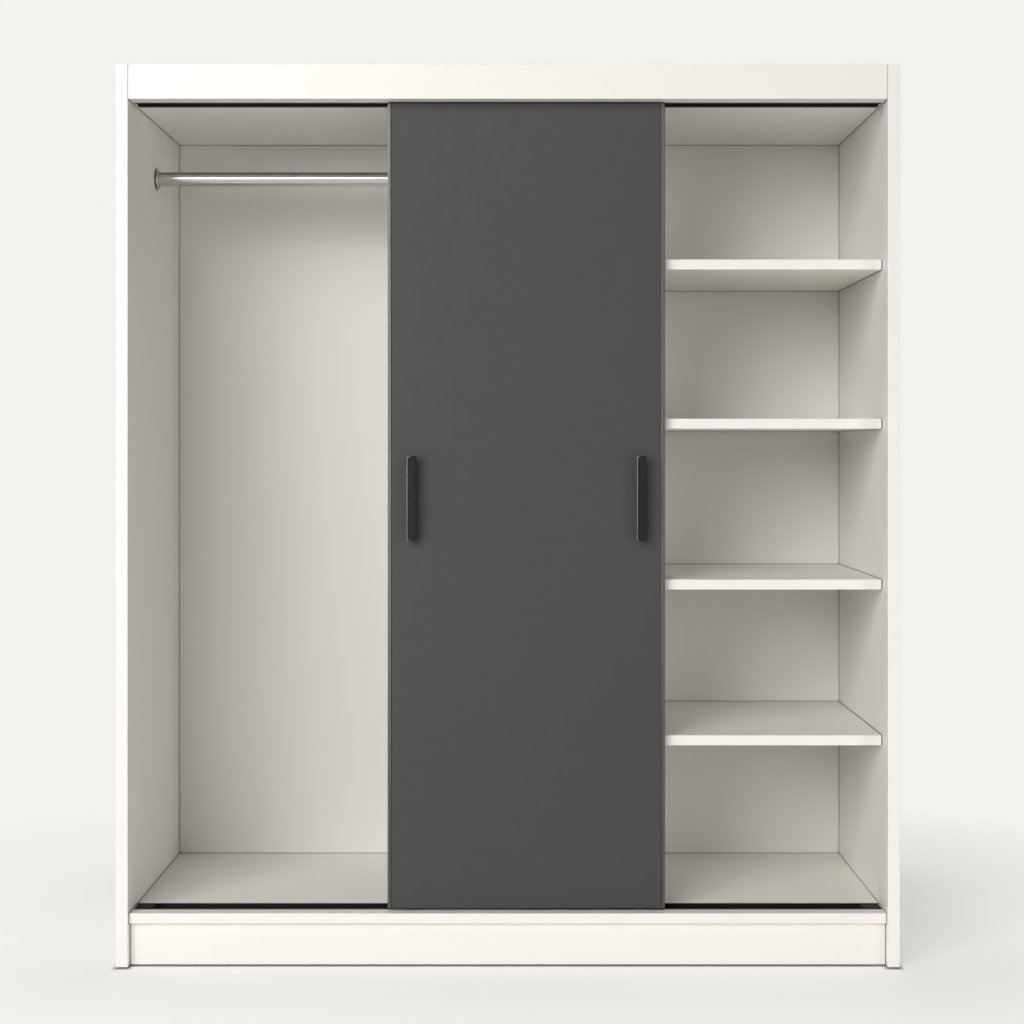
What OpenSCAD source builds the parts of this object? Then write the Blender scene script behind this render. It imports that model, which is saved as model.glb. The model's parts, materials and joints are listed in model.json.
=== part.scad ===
// Sliding door wardrobe: a white board carcass with two bays, a clothes rail, four shelves,
// and one dark door that rolls on a floor track and is steered by a ceiling track.
// X runs to the right, Y to the rear and Z up. The origin is the middle of the footprint.

/* [Carcass] */
// Overall width
wardrobe_w = 1820; // [1700:1:2000]
// Overall height
wardrobe_h = 2100; // [2000:1:2300]
// Overall depth of the side panels
wardrobe_d = 620; // [600:1:660]
// Depth from the front edge of the sides to the back panels
interior_d = 600; // [580:1:640]
// Thickness of the side panels
side_t = 28; // [26:1:32]
// Thickness of the top, the bottom, the partition and the shelves
board_t = 24; // [24:1:28]
// Thickness of the back panels
back_t = 3; // [3:1:5]
// Height of the board that covers the front of the top panel
fascia_h = 81; // [70:1:110]
// Thickness of that board
fascia_t = 22; // [18:1:24]
// Height of the underside of the bottom panel
base_h = 102; // [96:1:130]
// How far the bottom panel sits behind the front of the sides
bottom_recess = 10; // [2:1:16]
// How far the plinth sits behind the front of the sides
plinth_recess = 22; // [18:1:40]
// Thickness of the plinth boards
plinth_t = 16; // [16:1:20]
// Height of the glides under the sides and the braces
glide_h = 3; // [2:1:5]

/* [Interior] */
// Middle of the partition, from the middle of the wardrobe
partition_x = 270; // [200:1:330]
// Heights of the top faces of the shelves
shelf_tops = [1653, 1278, 899, 532]; // [300:1:1900]
// How far the shelves and the partition sit behind the front of the sides
shelf_recess = 60; // [58:1:80]
// Gap between each end of a shelf and the board beside it
shelf_gap = 1.5; // [0.5:0.5:2]
// Outer diameter of the clothes rail
rail_d = 34; // [25:1:34]
// Height of the middle of the clothes rail
rail_z = 1882; // [1750:1:1900]

/* [Door] */
// Width of the door
door_w = 650; // [600:1:700]
// Thickness of the door
door_t = 18; // [16:1:20]
// Middle of the door, from the middle of the wardrobe, where it stands
door_x = 43; // [0:1:80]
// How far the front of the door sits behind the front of the sides
door_recess = 35; // [32:1:36]
// Gap under the door
door_gap_bottom = 5; // [4:0.5:6]
// Gap over the door
door_gap_top = 3; // [2:0.5:4]
// Width of the metal profile on each upright edge of the door
edge_w = 8; // [3:0.5:8]
// Length of the handles
handle_l = 198; // [160:1:260]
// Width of the handles
handle_w = 24; // [20:1:28]
// How far the handles stand out from the door
handle_out = 28; // [24:1:31]
// Height of the middle of the handles
handle_z = 1091; // [900:1:1200]
// Distance of each handle from the nearest edge of the door
handle_inset = 57; // [40:1:80]

/* [Sliding gear] */
// Width of both tracks
track_w = 46; // [46:1:50]
// Height of both tracks, sunk into the boards
track_h = 12; // [12:0.5:13]
// How far the front of the tracks sits behind the front of the sides
track_recess = 48; // [48:1:50]
// Wall thickness of the tracks
track_t = 2; // [1.5:0.5:2]
// Radius of the roller wheels where they run on the rib of the floor track
tread_r = 14; // [13:0.5:15]
// Radius of the flanges of the roller wheels
rim_r = 17.5; // [16.5:0.5:17.5]
// Radius of the guide wheels
guide_r = 10; // [9:0.5:10]
// Distance of the rollers and guides from the nearest edge of the door
roller_inset = 60; // [50:1:90]
// How far the guide plungers can be pulled down
plunger_travel = 10; // [6:1:10]

/* [Hidden] */
$fn = 48;

// Colours
white_board = "#f4f2ee";
back_white = "#e9e6e0";
raw_wood = "#c9a878";
dark_door = "#52514e";
black_metal = "#191817";
bright_steel = "#c4c6c8";
zinc = "#a9abad";
nylon = "#e8e6df";
black_plastic = "#222222";

// Directions for rods
to_right = [0, 90, 0];
to_left = [0, -90, 0];
to_rear = [-90, 0, 0];
to_front = [90, 0, 0];
upward = [0, 0, 0];
downward = [180, 0, 0];

// Clearances: round a fixed pin, round a turning shaft, between sliding faces, round a part
// that lies in a pocket or groove, and at each end of a board that stands between two others
snug = 0.05;
running = 0.05;
loose = 0.3;
pocket = 0.1;
end_gap = 0.5;

// How far each cut runs past the faces it opens
eps = 0.5;

// Main planes
half_w = wardrobe_w / 2;
front_y = -wardrobe_d / 2;
rear_y = wardrobe_d / 2;
inner_x = half_w - side_t;
floor_z = base_h + board_t;
ceiling_z = wardrobe_h - fascia_h;
roof_z = ceiling_z + board_t;
back_y = front_y + interior_d;
fascia_rear_y = front_y + fascia_t;
shelf_y = front_y + shelf_recess;

// Plinth
plinth_rear_y = front_y + plinth_recess + plinth_t;
rear_plinth_inset = 30;
rear_plinth_y = back_y - rear_plinth_inset;
brace_xs = [partition_x, (partition_x - board_t / 2 - inner_x) / 2];
block_s = 30;
block_z = 20;
block_h = 60;
plinth_screw_d = 4;
plinth_screw_l = block_s + 11;
plinth_corners = [
    [-inner_x, plinth_rear_y, 1, 1], [inner_x, plinth_rear_y, -1, 1],
    [-inner_x, rear_plinth_y, 1, -1], [inner_x, rear_plinth_y, -1, -1],
    for (x = brace_xs) for (end = [[plinth_rear_y, 1], [rear_plinth_y, -1]])
        [x - plinth_t / 2, end[0], -1, end[1]]
];
glide_d = 22;
brace_glide_d = 14;
glide_nail_d = 2.4;
glide_nail_l = 12;
glide_inset = 60;
glide_xs = [-half_w + side_t / 2, half_w - side_t / 2];
glide_ys = [front_y + glide_inset, rear_y - glide_inset];

// Cams, bolts, dowels and screws that join the boards
cam_ys = [-180, 40, 240];
cam_d = 15;
cam_h = board_t / 2 + 5;
cam_inset = 24;
cam_slot = [1.4, 7, 3];
cam_bolt_d = 7;
bolt_thread_d = cam_bolt_d - 1;
bolt_thread_l = 11;
bolt_neck_d = cam_bolt_d - 2.5;
bolt_collar_l = 2;
bolt_head_l = 4;
bolt_head_past = 1;
bolt_bore_d = cam_bolt_d + 0.4;
bolt_bore_l = cam_inset + 2.5;
panel_dowel_ys = [-140, 80, 200];
partition_dowel_ys = [-60, 120];
partition_screw_ys = [-150, 210];
partition_screw_d = 6;
partition_screw_l = 60;
dowel_d = 8;
dowel_in = 12;
dowel_l = 30;
panel_mid_zs = [base_h + board_t / 2, ceiling_z + board_t / 2];

// Back panels
groove_in = 8;
back_seam = 0.5;
groove_end_gap = 0.3;
nail_step = 190;
nail_inset = 6;
nail_margin = 60;
nail_d = 1.8;
nail_bite = 16;
nail_head_d = 5;
nail_head_h = 1;

// Shelf pins and clothes rail
pin_d = 5;
pin_in = 8;
pin_head_d = 8;
pin_head_l = 9;
pin_inset = 50;
pin_ys = [shelf_y + pin_inset, back_y - pin_inset];
pin_slot_gap = 0.2;
pin_rest_gap = 0.02;
shelf_rear_gap = 1;
rail_y = front_y + interior_d * 0.525;
rail_wall = 1.5;
flange_d = 54;
flange_t = 3;
collar_d = rail_d + 4;
collar_l = 5;
rail_screw_r = 22.8;
rail_screw_d = 3.5;
rail_screw_l = 18;
rail_ends = [[-inner_x, 1], [partition_x - board_t / 2, -1]];

// Tracks
track_y0 = front_y + track_recess;
track_y = track_y0 + track_w / 2;
bottom_track_x = inner_x - 3;
top_track_x = inner_x - 5;
rib_w = 4;
rib_h = 8;
guide_slot = 2 * guide_r + 3;
track_end_gap = 0.2;
// The lips of the tracks lie on the boards on either side of the pocket
track_lip_w = 3;
track_lip_t = 0.8;
track_screw_d = 3;
track_screw_l = 10;
track_screw_inset = 42;
track_screw_xs = [for (i = [-3:3]) i * (inner_x - track_screw_inset) / 3];
track_screw_y = track_y + 11;
stop_l = 44;
stop_rib_gap = 0.2;

// Door and where its gear sits
door_y = front_y + door_recess;
door_rear_y = door_y + door_t;
door_z0 = floor_z + door_gap_bottom;
door_z1 = ceiling_z - door_gap_top;
door_left = door_x - door_w / 2;
door_right = door_x + door_w / 2;
edge_groove = 1.2;
tongue_t = 1.6;
tongue_l = 8;
tongue_gap = 0.4;
roller_xs = [door_left + roller_inset, door_right - roller_inset];
handle_xs = [door_left + handle_inset, door_right - handle_inset];
handle_t = 10;
handle_bevel = 2.5;
handle_post_dz = handle_l / 2 - 19;
post_d = 12;
screw_d = 4;
screw_bite = 11;
handle_head_in = 3.5;
handle_head_bore = 8.6;
handle_screw_bite = 10;

// Roller carriages
wheel_w = 11;
wheel_z = floor_z - track_h + rib_h + loose + tread_r;
plate_t = 2.5;
plate_w = 60;
plate_z0 = door_z0 + 4;
plate_h = 100;
plate_z1 = plate_z0 + plate_h;
plate_screw_dx = 22;
plate_screw_z = plate_z1 - 13;
carrier_t = 3;
carrier_w = 44;
carrier_y = door_rear_y + plate_t + pocket;
carrier_z0 = plate_z0 - 2;
carrier_z1 = plate_z0 + 70;
clamp_screw_dx = 14;
clamp_screw_z = plate_z0 + 50;
clamp_slot_w = 4.6;
clamp_slot_h = 14;
boss_d = 12;
lug_w = 24;
adjuster_y = carrier_y + carrier_t + 5.5;
adjuster_d = 6;
adjuster_l = 36;
adjuster_head_d = 10;
adjuster_head_h = 4;
hex_key = 5;
lug_rear_y = adjuster_y + 8;
axle_d = 6;
axle_head_d = 10;
axle_head_h = 1.5;
bearing_d = 19;
bearing_w = 6;
seal_w = 3;
seal_depth = 0.3;
rib_side_gap = 0.5;
wheel_bevel = 0.8;

// Top guides
housing_w = 36;
housing_l = 30;
housing_z0 = ceiling_z - 69;
housing_z1 = ceiling_z - 11;
ear_w = 64;
ear_t = 3;
ear_inset = 8;
guide_screw_dx = 25;
guide_screw_zs = [housing_z0 + 16, housing_z1 - 16];
plunger_d = 12;
plunger_bore_d = plunger_d + 4 * snug;
plunger_z0 = housing_z1 - 24;
plunger_z1 = housing_z1 - 2;
neck_d = 8;
guide_pin_d = 5;
guide_wheel_z = ceiling_z + 2.3;
guide_wheel_h = 6;
guide_wheel_bevel = 0.8;
guide_cap_h = 0.9;
tab_w = 5;
tab_h = 8;
tab_z = plunger_z0 + 6;
tab_out = 8;
spring_z0 = housing_z0 + 10;
spring_wire = 1;
spring_r = 4;
spring_turns = 6;
spring_sides = 8;
spring_steps = 14 * spring_turns;

// Wall brackets and fascia brackets
angle_t = 2;
wall_bracket_xs = [-560, 560];
angle_w = 40;
wall_bracket_reach = 30;
wall_screw_dx = 10;
wall_screw_y = back_y - 16;
wall_screw_l = 18;
wall_hole_d = 7;
wall_hole_z = roof_z + 24;
fascia_bracket_xs = [-700, 0, 700];
fascia_bracket_w = 30;
fascia_bracket_reach = 32;
fascia_bracket_h = 36;
fascia_screw_z = roof_z + 22;
fascia_screw_y = fascia_rear_y + 20;
fascia_screw_l = 14;

// Notches in the front corners of the partition, which the door's gear passes through
notch_y = track_y0 + track_w + 4;
notch_low = 124;
notch_high = 79;

// A block between two opposite corners
module block(low, high) {
    translate(low)
        cube(high - low);
}

// A round rod that starts at a point and runs in one of the directions above
module rod(start, d, l, dir) {
    translate(start)
        rotate(dir)
            cylinder(d = d, h = l);
}

// A countersunk wood screw: the middle of its head's face is at the point
module flat_screw(at, d, l, dir) {
    translate(at)
        rotate(dir) {
            cylinder(d1 = 2 * d, d2 = d, h = d / 2);
            cylinder(d = d, h = l);
        }
}

// The hole for a countersunk screw
module flat_screw_hole(at, d, l, dir) {
    translate(at)
        rotate(dir) {
            cylinder(d1 = 2 * d + 2 * snug, d2 = d + 2 * snug, h = d / 2);
            cylinder(d = d + 2 * snug, h = l + eps);
        }
}

// A pan head screw with a cross recess: the point is under its head
module pan_screw(at, d, l, dir) {
    head_h = d * 0.6;
    translate(at)
        rotate(dir) {
            cylinder(d = d, h = l);
            difference() {
                translate([0, 0, -head_h])
                    cylinder(d = 2 * d, h = head_h);
                for (turn = [0, 90])
                    rotate([0, 0, turn])
                        translate([-d / 2, -d / 10, -head_h - eps])
                            cube([d, d / 5, head_h / 2 + eps]);
            }
        }
}

// Mirrors its children for the right-hand side
module on_side(side) {
    mirror([side > 0 ? 1 : 0, 0, 0])
        children();
}

// A shape drawn in the Y-Z plane, run along X
module along_x(x0, x1) {
    translate([x0, 0, 0])
        rotate([90, 0, 90])
            linear_extrude(x1 - x0)
                children();
}

// Places of the plinth's corner blocks, turned so that +X and +Y point away from the corner
module in_corner(corner) {
    translate([corner[0], corner[1], 0])
        mirror([corner[2] < 0 ? 1 : 0, 0, 0])
            mirror([0, corner[3] < 0 ? 1 : 0, 0])
                children();
}

module plinth_screw_pair(hole) {
    inset = block_s / 2;
    low_z = block_z + block_h / 4;
    high_z = block_z + block_h * 3 / 4;
    if (hole) {
        flat_screw_hole([block_s, inset, low_z], plinth_screw_d, plinth_screw_l, to_left);
        flat_screw_hole([inset, block_s, high_z], plinth_screw_d, plinth_screw_l, to_front);
    } else {
        flat_screw([block_s, inset, low_z], plinth_screw_d, plinth_screw_l, to_left);
        flat_screw([inset, block_s, high_z], plinth_screw_d, plinth_screw_l, to_front);
    }
}

module plinth_screw_holes() {
    for (corner = plinth_corners)
        in_corner(corner)
            plinth_screw_pair(true);
}

// Glides: a disc with a nail that is driven up into the board
module glide_nails(gap) {
    for (x = concat(glide_xs, brace_xs))
        for (y = glide_ys)
            rod([x, y, glide_h], glide_nail_d + gap, glide_nail_l + gap, upward);
}

// The bores of every screw, bolt, dowel and pin that enters a side panel, drawn on the left
module side_bores(right) {
    for (z = panel_mid_zs) {
        for (y = cam_ys)
            rod([-inner_x + eps, y, z], bolt_thread_d + 2 * snug, bolt_thread_l + 2 * eps, to_left);
        for (y = panel_dowel_ys)
            rod([-inner_x + eps, y, z], dowel_d + 2 * snug, dowel_in + 2 * eps, to_left);
    }
    if (right)
        for (top = shelf_tops)
            for (y = pin_ys)
                rod([-inner_x + eps, y, top - board_t + pin_head_d / 2],
                    pin_d + 2 * snug, pin_in + 2 * eps, to_left);
}

module side_panel(side) {
    color(white_board)
        difference() {
            on_side(side)
                difference() {
                    block([-half_w, front_y, glide_h], [-inner_x, rear_y, wardrobe_h]);
                    block([-inner_x - groove_in, back_y - pocket, glide_h - eps],
                          [-inner_x + eps, back_y + back_t + pocket, wardrobe_h + eps]);
                    side_bores(side > 0);
                }
            plinth_screw_holes();
            glide_nails(2 * snug);
            if (side < 0)
                rail_screw_set(true);
        }
}

// The panel end: three cams, their bolts and three dowels at each end of a horizontal board
module end_bores(mid_z, cam_top) {
    for (side = [-1, 1])
        on_side(side) {
            for (y = cam_ys) {
                rod([-inner_x - eps, y, mid_z], bolt_bore_d, bolt_bore_l, to_right);
                rod([-inner_x + cam_inset, y, cam_top ? roof_z + eps : base_h - eps],
                    cam_d + 2 * snug, cam_h + eps, cam_top ? downward : upward);
            }
            for (y = panel_dowel_ys)
                rod([-inner_x - eps, y, mid_z], dowel_d + 2 * snug,
                    dowel_l - dowel_in + 2 * eps, to_right);
        }
}

module partition_dowel_rods(gap) {
    for (z = [floor_z, ceiling_z])
        for (y = partition_dowel_ys)
            rod([partition_x, y, z - dowel_l / 2 - gap], dowel_d + 2 * gap,
                dowel_l + 2 * gap, upward);
}

module partition_screw_set(hole) {
    for (y = partition_screw_ys)
        for (end = [[roof_z, downward], [base_h, upward]])
            if (hole)
                flat_screw_hole([partition_x, y, end[0]], partition_screw_d, partition_screw_l, end[1]);
            else
                flat_screw([partition_x, y, end[0]], partition_screw_d, partition_screw_l, end[1]);
}

module top_panel() {
    color(white_board)
        difference() {
            block([-inner_x, fascia_rear_y, ceiling_z], [inner_x, back_y, roof_z]);
            block([-top_track_x - track_end_gap, track_y0 - pocket, ceiling_z - eps],
                  [top_track_x + track_end_gap, track_y0 + track_w + pocket, ceiling_z + track_h]);
            end_bores(panel_mid_zs[1], true);
            partition_dowel_rods(snug);
            partition_screw_set(true);
            top_track_screws(true);
            nail_set(snug);
            wall_bracket_screw_set(true);
            fascia_screw_set(true);
        }
}

module bottom_panel() {
    color(white_board)
        difference() {
            block([-inner_x, front_y + bottom_recess, base_h], [inner_x, back_y, floor_z]);
            block([-bottom_track_x - track_end_gap, track_y0 - pocket, floor_z - track_h],
                  [bottom_track_x + track_end_gap, track_y0 + track_w + pocket, floor_z + eps]);
            end_bores(panel_mid_zs[0], false);
            partition_dowel_rods(snug);
            partition_screw_set(true);
            bottom_track_screws(true);
            nail_set(snug);
        }
}

module partition() {
    x0 = partition_x - board_t / 2;
    x1 = partition_x + board_t / 2;
    color(white_board)
        difference() {
            block([x0, shelf_y, floor_z], [x1, back_y, ceiling_z]);
            block([x0 - eps, shelf_y - eps, floor_z - eps], [x1 + eps, notch_y, floor_z + notch_low]);
            block([x0 - eps, shelf_y - eps, ceiling_z - notch_high],
                  [x1 + eps, notch_y, ceiling_z + eps]);
            partition_dowel_rods(snug);
            partition_screw_set(true);
            nail_set(snug);
            rail_screw_set(true);
            for (top = shelf_tops)
                for (y = pin_ys)
                    rod([x1 + eps, y, top - board_t + pin_head_d / 2],
                        pin_d + 2 * snug, pin_in + 2 * eps, to_left);
        }
}

// The nails that hold the back panels to the rear edges of the boards
module nail_set(gap) {
    split = partition_x;
    row_xs = [
        for (x = [-inner_x + nail_margin : nail_step : split - nail_margin]) x,
        for (x = [split + nail_margin : nail_step : inner_x - nail_margin]) x
    ];
    for (z = panel_mid_zs)
        for (x = row_xs)
            nail([x, back_y + back_t, z], gap);
    for (side = [-1, 1])
        for (z = [floor_z + 2 * nail_margin : 2 * nail_step : ceiling_z - nail_margin])
            nail([split + side * nail_inset, back_y + back_t, z], gap);
}

module nail(at, gap) {
    rod(at, nail_d + 2 * gap, back_t + nail_bite + gap, to_front);
    rod(at, nail_head_d + 2 * gap, nail_head_h, to_rear);
}

module back_panel(x0, x1) {
    color(back_white)
        difference() {
            block([x0, back_y, base_h], [x1, back_y + back_t, roof_z]);
            nail_set(snug);
        }
}

module back_panel_left() {
    back_panel(-inner_x - groove_in + groove_end_gap, partition_x - back_seam / 2);
}

module back_panel_right() {
    back_panel(partition_x + back_seam / 2, inner_x + groove_in - groove_end_gap);
}

module back_nails() {
    color(zinc)
        nail_set(0);
}

module top_fascia() {
    color(white_board)
        difference() {
            block([-inner_x + end_gap, front_y, ceiling_z],
                  [inner_x - end_gap, fascia_rear_y, wardrobe_h]);
            fascia_screw_set(true);
        }
}

// Angle brackets behind the fascia, on top of the top panel
module fascia_screw_set(hole) {
    for (x = fascia_bracket_xs) {
        back_at = [x, fascia_rear_y + angle_t, fascia_screw_z];
        top_at = [x, fascia_screw_y, roof_z + angle_t];
        if (hole) {
            rod(back_at, screw_d + 2 * snug, fascia_screw_l + snug, to_front);
            rod(top_at, screw_d + 2 * snug, fascia_screw_l + snug, downward);
        } else {
            pan_screw(back_at, screw_d, fascia_screw_l, to_front);
            pan_screw(top_at, screw_d, fascia_screw_l, downward);
        }
    }
}

module fascia_brackets() {
    color(zinc)
        difference() {
            for (x = fascia_bracket_xs) {
                low = [x - fascia_bracket_w / 2, fascia_rear_y, roof_z];
                block(low, low + [fascia_bracket_w, fascia_bracket_reach, angle_t]);
                block(low, low + [fascia_bracket_w, angle_t, fascia_bracket_h]);
            }
            fascia_screw_set(true);
        }
}

module fascia_screws() {
    color(zinc)
        fascia_screw_set(false);
}

module front_plinth() {
    color(white_board)
        difference() {
            block([-inner_x + end_gap, front_y + plinth_recess, glide_h],
                  [inner_x - end_gap, plinth_rear_y, base_h]);
            plinth_screw_holes();
        }
}

module rear_plinth() {
    color(white_board)
        difference() {
            block([-inner_x + end_gap, rear_plinth_y, glide_h],
                  [inner_x - end_gap, rear_plinth_y + plinth_t, base_h]);
            plinth_screw_holes();
        }
}

module plinth_braces() {
    color(white_board)
        difference() {
            for (x = brace_xs)
                block([x - plinth_t / 2, plinth_rear_y, glide_h], [x + plinth_t / 2, rear_plinth_y, base_h]);
            plinth_screw_holes();
            glide_nails(2 * snug);
        }
}

module plinth_blocks() {
    color(raw_wood)
        for (corner = plinth_corners)
            in_corner(corner)
                difference() {
                    block([0, 0, block_z], [block_s, block_s, block_z + block_h]);
                    plinth_screw_pair(true);
                }
}

module plinth_screws() {
    color(zinc)
        for (corner = plinth_corners)
            in_corner(corner)
                plinth_screw_pair(false);
}

module floor_glides() {
    color(black_plastic) {
        glide_nails(0);
        for (y = glide_ys) {
            for (x = glide_xs)
                rod([x, y, 0], glide_d, glide_h, upward);
            for (x = brace_xs)
                rod([x, y, 0], brace_glide_d, glide_h, upward);
        }
    }
}

// Shelf with a slot over each pin, so that it can't be pulled out
module shelf(top) {
    x0 = partition_x + board_t / 2;
    under = top - board_t;
    slot_l = pin_head_l + end_gap;
    slot_half = pin_head_d / 2 + pin_slot_gap;
    color(white_board)
        difference() {
            block([x0 + shelf_gap, shelf_y, under],
                  [inner_x - shelf_gap, back_y - shelf_rear_gap, top]);
            for (y = pin_ys)
                for (x = [x0, inner_x - slot_l])
                    block([x, y - slot_half, under - eps],
                          [x + slot_l, y + slot_half, under + pin_head_d + pin_rest_gap]);
        }
}

module shelf_1() {
    shelf(shelf_tops[0]);
}

module shelf_2() {
    shelf(shelf_tops[1]);
}

module shelf_3() {
    shelf(shelf_tops[2]);
}

module shelf_4() {
    shelf(shelf_tops[3]);
}

module shelf_pins() {
    color(bright_steel)
        for (top = shelf_tops)
            for (y = pin_ys)
                for (end = [[partition_x + board_t / 2, to_left, to_right], [inner_x, to_right, to_left]]) {
                    at = [end[0], y, top - board_t + pin_head_d / 2];
                    rod(at, pin_d, pin_in, end[1]);
                    rod(at, pin_head_d, pin_head_l, end[2]);
                }
}

module clothes_rail() {
    x0 = rail_ends[0][0] + flange_t + pocket;
    x1 = rail_ends[1][0] - flange_t - pocket;
    color(bright_steel)
        difference() {
            rod([x0, rail_y, rail_z], rail_d, x1 - x0, to_right);
            rod([x0 - eps, rail_y, rail_z], rail_d - 2 * rail_wall, x1 - x0 + 2 * eps, to_right);
        }
}

// Three screws through each flange of the clothes rail
module rail_screw_set(hole) {
    for (end = rail_ends)
        for (turn = [90, 210, 330]) {
            at = [end[0] + end[1] * flange_t,
                  rail_y + rail_screw_r * cos(turn), rail_z + rail_screw_r * sin(turn)];
            dir = end[1] > 0 ? to_left : to_right;
            if (hole)
                flat_screw_hole(at, rail_screw_d, rail_screw_l, dir);
            else
                flat_screw(at, rail_screw_d, rail_screw_l, dir);
        }
}

module rail_flange(end) {
    dir = end[1] > 0 ? to_right : to_left;
    at = [end[0], rail_y, rail_z];
    color(bright_steel)
        difference() {
            union() {
                rod(at, flange_d, flange_t, dir);
                rod(at, collar_d, flange_t + collar_l, dir);
            }
            translate(at)
                rotate(dir)
                    translate([0, 0, flange_t])
                        cylinder(d = rail_d + 2 * snug, h = collar_l + eps);
            rail_screw_set(true);
        }
}

module rail_flange_left() {
    rail_flange(rail_ends[0]);
}

module rail_flange_right() {
    rail_flange(rail_ends[1]);
}

module rail_screws() {
    color(zinc)
        rail_screw_set(false);
}

// Outline of the two lips of a track, from a height up
module track_lips(low) {
    for (y = [-track_lip_w, track_w - track_t])
        translate([y, low])
            square([track_lip_w + track_t, track_lip_t]);
}

// Floor track: a channel with a rounded rib along its middle
module bottom_track() {
    color(black_metal)
        difference() {
            along_x(-bottom_track_x, bottom_track_x)
                translate([track_y0, floor_z - track_h]) {
                    square([track_w, track_t]);
                    square([track_t, track_h]);
                    translate([track_w - track_t, 0])
                        square([track_t, track_h]);
                    translate([(track_w - rib_w) / 2, 0])
                        square([rib_w, rib_h - rib_w / 2]);
                    translate([track_w / 2, rib_h - rib_w / 2])
                        circle(d = rib_w);
                    track_lips(track_h);
                }
            bottom_track_screws(true);
        }
}

// Ceiling track: a slot for the guide wheels between two closed chambers
module top_track() {
    chamber_w = (track_w - guide_slot) / 2;
    color(black_metal)
        difference() {
            along_x(-top_track_x, top_track_x)
                translate([track_y0, ceiling_z]) {
                    difference() {
                        square([track_w, track_h]);
                        translate([chamber_w, -eps])
                            square([guide_slot, track_h - track_t + eps]);
                        for (side = [0, track_w - chamber_w])
                            translate([side + track_t, track_t])
                                square([chamber_w - 2 * track_t, track_h - 2 * track_t]);
                    }
                    track_lips(-track_lip_t);
                }
            top_track_screws(true);
        }
}

module bottom_track_screws(hole) {
    for (x = track_screw_xs) {
        at = [x, track_screw_y, floor_z - track_h + track_t];
        if (hole)
            flat_screw_hole(at, track_screw_d, track_screw_l, downward);
        else
            flat_screw(at, track_screw_d, track_screw_l, downward);
    }
}

module top_track_screws(hole) {
    for (x = track_screw_xs) {
        at = [x, track_y, ceiling_z + track_h - track_t];
        if (hole)
            flat_screw_hole(at, track_screw_d, track_screw_l, upward);
        else
            flat_screw(at, track_screw_d, track_screw_l, upward);
    }
}

module track_screws() {
    color(black_metal) {
        bottom_track_screws(false);
        top_track_screws(false);
    }
}

// Stops that close the ends of the floor track
module track_stops() {
    low_z = floor_z - track_h + track_t;
    rib_half = rib_w / 2 + stop_rib_gap;
    color(black_plastic)
        for (side = [-1, 1])
            on_side(side)
                difference() {
                    block([-bottom_track_x + end_gap, track_y0 + track_t + pocket, low_z],
                          [-bottom_track_x + stop_l, track_y0 + track_w - track_t - pocket, floor_z]);
                    block([-bottom_track_x, track_y - rib_half, low_z - eps],
                          [-bottom_track_x + stop_l + eps, track_y + rib_half,
                           floor_z - track_h + rib_h + stop_rib_gap]);
                }
}

module cam_locks() {
    color(zinc)
        for (side = [-1, 1])
            on_side(side)
                for (y = cam_ys)
                    for (end = [[base_h, upward, panel_mid_zs[0]], [roof_z, downward, panel_mid_zs[1]]])
                        difference() {
                            rod([-inner_x + cam_inset, y, end[0]], cam_d, cam_h, end[1]);
                            rod([-inner_x, y, end[2]], bolt_bore_d, bolt_bore_l - eps, to_right);
                            translate([-inner_x + cam_inset, y, end[0]])
                                cube(cam_slot, center = true);
                        }
}

module cam_bolts() {
    color(zinc)
        for (side = [-1, 1])
            on_side(side)
                for (y = cam_ys)
                    for (z = panel_mid_zs) {
                        rod([-inner_x, y, z], bolt_thread_d, bolt_thread_l, to_left);
                        rod([-inner_x, y, z], cam_bolt_d, bolt_collar_l, to_right);
                        rod([-inner_x, y, z], bolt_neck_d, cam_inset, to_right);
                        rod([-inner_x + cam_inset + bolt_head_past, y, z], cam_bolt_d, bolt_head_l, to_left);
                    }
}

module panel_dowels() {
    color(raw_wood) {
        for (side = [-1, 1])
            on_side(side)
                for (y = panel_dowel_ys)
                    for (z = panel_mid_zs)
                        rod([-inner_x - dowel_in, y, z], dowel_d, dowel_l, to_right);
        partition_dowel_rods(0);
    }
}

module partition_screws() {
    color(zinc)
        partition_screw_set(false);
}

// Angle brackets that tie the wardrobe to a wall
module wall_bracket_screw_set(hole) {
    for (x = wall_bracket_xs)
        for (dx = [-wall_screw_dx, wall_screw_dx]) {
            at = [x + dx, wall_screw_y, roof_z + angle_t];
            if (hole)
                rod(at, screw_d + 2 * snug, wall_screw_l + snug, downward);
            else
                pan_screw(at, screw_d, wall_screw_l, downward);
        }
}

module wall_brackets() {
    color(zinc)
        difference() {
            for (x = wall_bracket_xs) {
                block([x - angle_w / 2, back_y - wall_bracket_reach, roof_z],
                      [x + angle_w / 2, rear_y, roof_z + angle_t]);
                block([x - angle_w / 2, rear_y - angle_t, roof_z],
                      [x + angle_w / 2, rear_y, roof_z + angle_w]);
            }
            wall_bracket_screw_set(true);
            for (x = wall_bracket_xs)
                rod([x, rear_y + eps, wall_hole_z], wall_hole_d, angle_t + 2 * eps, to_front);
        }
}

module wall_bracket_screws() {
    color(zinc)
        wall_bracket_screw_set(false);
}

// The door: a board with a slot in each upright edge for its metal profile
module door_panel() {
    x0 = door_left + edge_w + edge_groove;
    x1 = door_right - edge_w - edge_groove;
    slot = tongue_t / 2 + pocket;
    mid_y = door_y + door_t / 2;
    color(dark_door)
        difference() {
            block([x0, door_y, door_z0], [x1, door_rear_y, door_z1]);
            block([x0 - eps, mid_y - slot, door_z0 - eps], [x0 + tongue_l, mid_y + slot, door_z1 + eps]);
            block([x1 - tongue_l, mid_y - slot, door_z0 - eps], [x1 + eps, mid_y + slot, door_z1 + eps]);
            handle_screw_set(true);
            bracket_screw_set(true);
            guide_screw_set(true);
        }
}

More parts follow.
